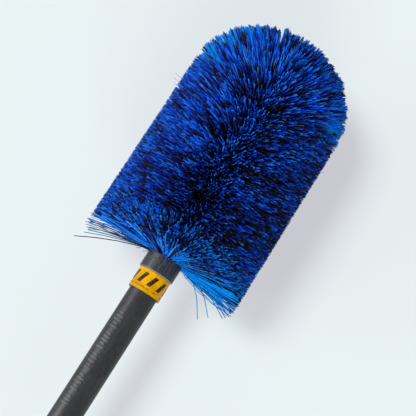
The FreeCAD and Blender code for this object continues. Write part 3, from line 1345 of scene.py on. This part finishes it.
    def side_hairs(self) -> Filaments:
        """The few hairs that stand proud of the head's side.

        Returns:
            The filaments.
        """
        # Each: the turn in degrees, the root's station, the tip's station and radius, the tone.
        shapes = (
            (84.0, 117.0, 122.0, 71.0, 0.05),
            (88.0, 116.0, 119.5, 69.0, 0.1),
            (81.0, 112.0, 114.0, 66.5, 0.1),
            (-86.0, 118.0, 119.0, 66.5, 0.8),
        )
        turns, rears, fronts, radii, tones = np.array(shapes).T
        turns = np.radians(turns)
        bows = np.tile((0.0, 0.0, 1.0 * MM), (len(shapes), 1))
        return Filaments.loose(self.brush, (rears * MM, 30.0 * MM, turns),
                               (fronts * MM, radii * MM, turns), bows, tones, 0.16 * MM,
                               open_share=0.9)

    def build(self, finish: bpy.types.Material) -> None:
        """Makes every row.

        Args:
            finish: The filament material.
        """
        loom = FilamentLoom()
        first, *others = self.brush.row_stations
        extra = self.strays().joined(self.lip_tuft())
        extra = extra.joined(self.fringe(1.0, 15, 2.2 * MM))
        extra = extra.joined(self.fringe(-1.0, 26, -1.4 * MM)).joined(self.rim_cover())
        # Painted light: open_share=1.2 lifts the base's painted root shade and paints it azure.
        base = FilamentRow(self.brush, "filament_row_00", Lay.BASE, first, self.base_count,
                           self.base_leans, self.seed, filament_radius=0.38 * MM, lock_tone=0.55,
                           lock_pitch=1.7 * MM, open_share=1.2)
        base.build(loom, finish, extra)
        for number, station in enumerate(others, 1):
            # Painted light and shade: row 1's open_share lifts its painted root shade;
            # dull_side_tone paints rows 1 and 2 lighter on the dull side and the later rows darker.
            row = FilamentRow(self.brush, f"filament_row_{number:02d}", Lay.STRAIGHT, station,
                              self.row_count, self.row_lean(station), self.seed + number,
                              filament_radius=0.31 * MM, lock_pitch=2.2 * MM,
                              open_share=0.35 if number == 1 else 0.0,
                              crest_tone=self.crest_tone(station),
                              dull_side_tone=-0.1 if number < 3 else 0.27)
            hairs = self.side_hairs() if number == len(others) - 1 else None
            row.build(loom, finish, hairs)
        for number, (leans, count) in enumerate(zip(self.fan_leans, self.fan_counts), 1):
            node = f"fan_row_{number}"
            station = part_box(node)[0].x - self.brush.mouth + 1.5 * MM
            # Painted light: open_share lifts the fans' painted root shade.
            fan = FilamentRow(self.brush, node, Lay.FAN, station, count, leans,
                              self.seed + 40 + number, filament_radius=0.305 * MM,
                              lock_pitch=3.3 * MM, lock_pull=0.72, trim_scatter=1.9 * MM,
                              open_share=0.25)
            fan.build(loom, finish)
        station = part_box("tip_tuft")[0].x - self.brush.mouth
        tuft = FilamentRow(self.brush, "tip_tuft", Lay.TUFT, station, self.tuft_count,
                           self.tuft_leans, self.seed + 60, spread=0.6 * MM)
        tuft.build(loom, finish)


# ---- stem ------------------------------------------------------------------------------------
@dataclass
class Stem:
    """The two twisted wires, in lengths that are cut near the hinges."""

    brush: BrushFrame
    strand_radius: float = 1.6 * MM
    strand_offset: float = 1.65 * MM
    pitch: float = 25.0 * MM
    steps_per_turn: int = 28
    section_points: int = 12

    def length_of_wire(self, rear: float, front: float) -> bpy.types.Mesh:
        """Both strands between two stations.

        Args:
            rear: The first station.
            front: The last station.

        Returns:
            Their mesh.
        """
        bm = bmesh.new()
        turn = 2.0 * math.pi * (front - rear) / self.pitch
        steps = max(2, round(self.steps_per_turn * (front - rear) / self.pitch))
        phase = 2.0 * math.pi * rear / self.pitch
        slope = math.atan2(2.0 * math.pi * self.strand_offset, self.pitch)
        for half in (0.0, math.pi):
            ring = bmesh.ops.create_circle(bm, segments=self.section_points,
                                           radius=self.strand_radius)["verts"]
            place = (
                Matrix.Translation((self.brush.mouth + rear, 0.0, self.brush.axis_height))
                @ Matrix.Rotation(phase + half, 4, "X")
                @ Matrix.Translation((0.0, 0.0, self.strand_offset))
                @ Matrix.Rotation(slope, 4, "Z")
                @ Matrix.Rotation(math.pi / 2.0, 4, "Y")
            )
            bmesh.ops.transform(bm, matrix=place, verts=ring)
            edges = list({e for v in ring for e in v.link_edges})
            bmesh.ops.spin(bm, geom=edges, cent=(0.0, 0.0, self.brush.axis_height),
                           axis=(1.0, 0.0, 0.0), dvec=((front - rear) / steps, 0.0, 0.0),
                           angle=turn, steps=steps, use_merge=False)
        bmesh.ops.holes_fill(bm, edges=[e for e in bm.edges if e.is_boundary], sides=0)
        bmesh.ops.recalc_face_normals(bm, faces=bm.faces)
        return mesh_from(bm, "stem_wire")

    def build(self, finish: bpy.types.Material) -> None:
        """Makes the stem.

        Args:
            finish: The wire's material.
        """
        low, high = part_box("stem_strand_a")
        rear, front = low.x - self.brush.mouth, high.x - self.brush.mouth
        half = self.brush.blend_half
        cuts = [flex.pivot - half for flex in self.brush.flexes]
        stations = [rear, *cuts, self.brush.flexes[-1].pivot + half, front]
        for number, (start, end) in enumerate(zip(stations, stations[1:])):
            mesh = self.length_of_wire(start, end)
            obj = new_object(f"stem_wire_{number}", mesh, finish)
            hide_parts("stem_strand_a", "stem_strand_b")
            if number == 0:
                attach(obj, self.brush.flexes[0].rear_body)
            elif number > len(self.brush.flexes):
                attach(obj, self.brush.flexes[-1].front_body)
            else:
                self.brush.bend_with(obj, self.brush.flexes[number - 1])


# ---- handle ----------------------------------------------------------------------------------
@dataclass
class GripMarks:
    """A line of short raised ribs along the shank."""

    brush: BrushFrame
    first_station: float = -52.0 * MM
    last_station: float = -128.0 * MM
    pitch: float = 2.9 * MM
    rib_length: float = 6.6 * MM
    rib_width: float = 1.15 * MM
    rib_height: float = 0.6 * MM
    sink: float = 0.25 * MM
    turn_deg: float = 31.0
    gap_every: int = 6
    short_every: int = 3
    short_share: float = 0.62
    edge_radius: float = 0.14 * MM

    def build(self, finish: bpy.types.Material) -> None:
        """Makes the ribs.

        Args:
            finish: The handle's material.
        """
        low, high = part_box("handle_tube")
        radius = (high.y - low.y) / 2.0
        bm = bmesh.new()
        station, number = self.first_station, 0
        while station > self.last_station:
            if number % self.gap_every != self.gap_every - 1:
                bm.from_mesh(self._rib(station, radius, number))
            station -= self.pitch
            number += 1
        obj = new_object("grip_marks", mesh_from(bm, "grip_marks"), finish)
        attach(obj, "handle")

    def _rib(self, station: float, radius: float, number: int) -> bpy.types.Mesh:
        """Makes one rib, bent round the tube.

        Args:
            station: The rib's middle.
            radius: The tube's radius.
            number: The rib's place in the line, which sets its length.

        Returns:
            The rib's mesh.
        """
        deep = self.rib_height + self.sink
        reach = self.rib_length * (1.0 if number % self.short_every else self.short_share)
        bm = bmesh.new()
        bmesh.ops.create_cube(bm, size=1.0)
        bmesh.ops.scale(bm, verts=bm.verts, vec=(self.rib_width, reach, deep))
        tops = [e for e in bm.edges if all(v.co.z > 0.0 for v in e.verts)]
        bmesh.ops.bevel(bm, geom=tops, offset=self.edge_radius, offset_type="OFFSET",
                        affect="EDGES", segments=2, profile=0.5, material=-1)
        runs = [e for e in bm.edges if abs(e.verts[0].co.y - e.verts[1].co.y) > 0.5 * reach]
        bmesh.ops.subdivide_edges(bm, edges=runs, cuts=5)
        for vert in bm.verts:
            turn = math.radians(self.turn_deg) + vert.co.y / radius
            out = radius + self.rib_height + vert.co.z - deep / 2.0
            vert.co = Vector((
                self.brush.mouth + station + vert.co.x,
                out * math.sin(turn),
                self.brush.axis_height + out * math.cos(turn),
            ))
        return mesh_from(bm, "rib")


@dataclass
class Handle:
    """The moulded handle: tube, ferrule, label and end cap, and what is inside them."""

    brush: BrushFrame

    def dress(self, node: bpy.types.Object, finish: bpy.types.Material) -> None:
        """Gives a CAD node its material.

        Args:
            node: The CAD node's object.
            finish: The material.
        """
        node.data.materials.clear()
        node.data.materials.append(finish)
        LOG.info("%s: %s", node.name, finish.name)

    def build(self, frame: Mapping) -> None:
        """Dresses the CAD nodes and adds the ribs.
        """
        plastic = partial(SatinPlastic, axis_height=self.brush.axis_height)
        low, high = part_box("label_band")
        pin = SpringWire("pin_steel", (0.6, 0.6, 0.6), (0.4, 0.4, 0.4), 0.2)
        finishes = {
            "handle_tube": plastic("handle_plastic", (0.004, 0.004, 0.0045),
                                   (0.018, 0.018, 0.019), (0.080, 0.083, 0.088),
                                   roughness=0.36),
            # The ferrule gets a painted highlight line along its rear rim, beside the label.
            "ferrule": plastic("ferrule_plastic", (0.002, 0.002, 0.003), (0.012, 0.013, 0.018),
                               (0.15, 0.17, 0.19), roughness=0.34, scuff_share=0.5, shine=0.48,
                               worn_rim=high.x + 0.45 * MM),
            "end_cap": plastic("cap_plastic", (0.030, 0.031, 0.033), (0.052, 0.054, 0.058),
                               (0.11, 0.112, 0.118), roughness=0.44),
            "stem_anchor": plastic("anchor_plastic", (0.26, 0.26, 0.25), (0.33, 0.33, 0.32),
                                   (0.4, 0.4, 0.39), roughness=0.5),
            "label_band": LabelFilm("label_film", self.brush.axis_height,
                                    (high.y - low.y) / 2.0, low.x, high.x),
            "mouth_bush": SoftRubber("bush_rubber", (0.016, 0.016, 0.018), (0.06, 0.06, 0.062)),
            "tip_cap": SoftRubber("tip_rubber", (0.006, 0.012, 0.045), (0.03, 0.05, 0.10)),
            "crimp_sleeve": SpringWire("sleeve_steel", roughness=0.26),
            "retaining_pin_left": pin,
            "retaining_pin_right": pin,
        }
        materials = {finish: finish.material() for finish in dict.fromkeys(finishes.values())}
        for name, finish in finishes.items():
            self.dress(frame["nodes"][name], materials[finish])
        # The ribs take a lighter copy of the handle plastic: partly for wear on their tops, partly
        # a painted highlight on the raised relief.
        raised = plastic("raised_plastic", (0.034, 0.035, 0.038), (0.085, 0.089, 0.094),
                         (0.20, 0.21, 0.22), scuff_share=0.7)
        GripMarks(self.brush).build(raised.material())


# ---- studio ----------------------------------------------------------------------------------
@dataclass(frozen=True)
class Lamp:
    """One broad lamp.

    A lamp's level is the light that it throws on the floor, where 1 shows a colour as written.
    """

    name: str
    towards: tuple[float, float, float]
    level: float
    softness_deg: float
    shines: bool = True
    lights: bool = True

    def hang(self) -> None:
        """Puts the lamp in the scene."""
        data = bpy.data.lights.new(self.name, "SUN")
        up = Vector(self.towards).normalized()
        data.energy = self.level * math.pi / up.z
        data.angle = math.radians(self.softness_deg)
        lamp = bpy.data.objects.new(self.name, data)
        lamp.rotation_mode = "QUATERNION"
        lamp.rotation_quaternion = (-up).to_track_quat("-Z", "Y")
        lamp.location = up
        lamp.visible_glossy = self.shines
        lamp.visible_diffuse = self.lights
        lamp.visible_transmission = self.lights
        bpy.context.scene.collection.objects.link(lamp)


@dataclass
class Studio:
    """The pale table, the soft light and the camera."""

    brush: BrushFrame
    floor_size: float = 9.0
    sky_level: float = 0.105
    backdrop: Colour = (0.827, 0.894, 0.911)
    lens: float = 92.1
    sensor_width: float = 36.0
    clip_range: Span = (0.01, 50.0)
    distance: float = 0.80
    tilt_deg: float = 11.0
    axis_on_screen_deg: float = 57.5
    aim_station: float = 49.0 * MM
    aim_across: float = -6.2 * MM
    lamps: tuple[Lamp, ...] = (
        Lamp("key", (-0.04, 0.47, 0.88), 0.72, 19.0, shines=False),
        Lamp("side", (-0.45, 0.82, 0.38), 0.17, 44.0),
        Lamp("front", (-0.90, -0.34, 0.30), 0.32, 44.0),
        Lamp("shine", (-0.25, 0.86, 0.42), 0.45, 26.0, lights=False),
    )

    def floor(self) -> None:
        """Lays the floor."""
        bm = bmesh.new()
        bmesh.ops.create_grid(bm, x_segments=1, y_segments=1, size=self.floor_size / 2.0)
        finish = PaleFloor().material()
        obj = new_object("floor", mesh_from(bm, "floor", smooth=False), finish)

    def light(self) -> None:
        """Hangs the lamps and fills the room with even light."""
        for lamp in self.lamps:
            lamp.hang()
        world = bpy.data.worlds.new("room")
        bpy.context.scene.world = world
        world.use_nodes = True
        board = Board(world.node_tree)
        fill = board.node("ShaderNodeBackground",
                          inputs={"Color": (1.0, 1.0, 1.0), "Strength": self.sky_level})
        shown = board.node("ShaderNodeBackground",
                           inputs={"Color": self.backdrop, "Strength": 1.0})
        both = board.node("ShaderNodeMixShader", inputs={0: board.seen(), 1: fill, 2: shown})
        board.node("ShaderNodeOutputWorld", inputs={"Surface": both})

    def camera(self) -> None:
        """Sets up the camera, which looks down on the brush from the handle's side.
        """
        tilt, screen = math.radians(self.tilt_deg), math.radians(self.axis_on_screen_deg)
        back = Vector((-math.sin(tilt), 0.0, math.cos(tilt)))
        along = Vector((math.cos(tilt), 0.0, math.sin(tilt)))
        left = back.cross(along)
        right = along * math.cos(screen) - left * math.sin(screen)
        up = along * math.sin(screen) + left * math.cos(screen)
        aim = Vector((self.brush.mouth + self.aim_station, self.aim_across, self.brush.axis_height))
        data = bpy.data.cameras.new("camera")
        data.lens = self.lens
        data.sensor_width = self.sensor_width
        data.clip_start, data.clip_end = self.clip_range
        obj = bpy.data.objects.new("camera", data)
        turned = Matrix((right, up, back)).transposed().to_4x4()
        obj.matrix_world = Matrix.Translation(aim + back * self.distance) @ turned
        bpy.context.scene.collection.objects.link(obj)
        bpy.context.scene.camera = obj

    def build(self) -> None:
        """Makes the whole studio.
        """
        self.floor()
        self.light()
        self.camera()
        bpy.context.scene.view_settings.view_transform = "Standard"


def main() -> None:
    """Builds the brush and the studio, in order."""
    logging.basicConfig(level=logging.INFO, format="%(name)s: %(message)s")
    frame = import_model()
    brush = BrushFrame.read(frame)
    Handle(brush).build(frame)
    # The stem wire is painted dark, for the shade deep among the filaments, so that it shows no
    # bright spots between them.
    dark_wire = SpringWire("coated_wire", (0.10, 0.10, 0.105), (0.035, 0.035, 0.038), 0.42)
    Stem(brush).build(dark_wire.material())
    Head(brush).build(FilamentNylon().material())
    Studio(brush).build()


if __name__ == "__main__":
    main()
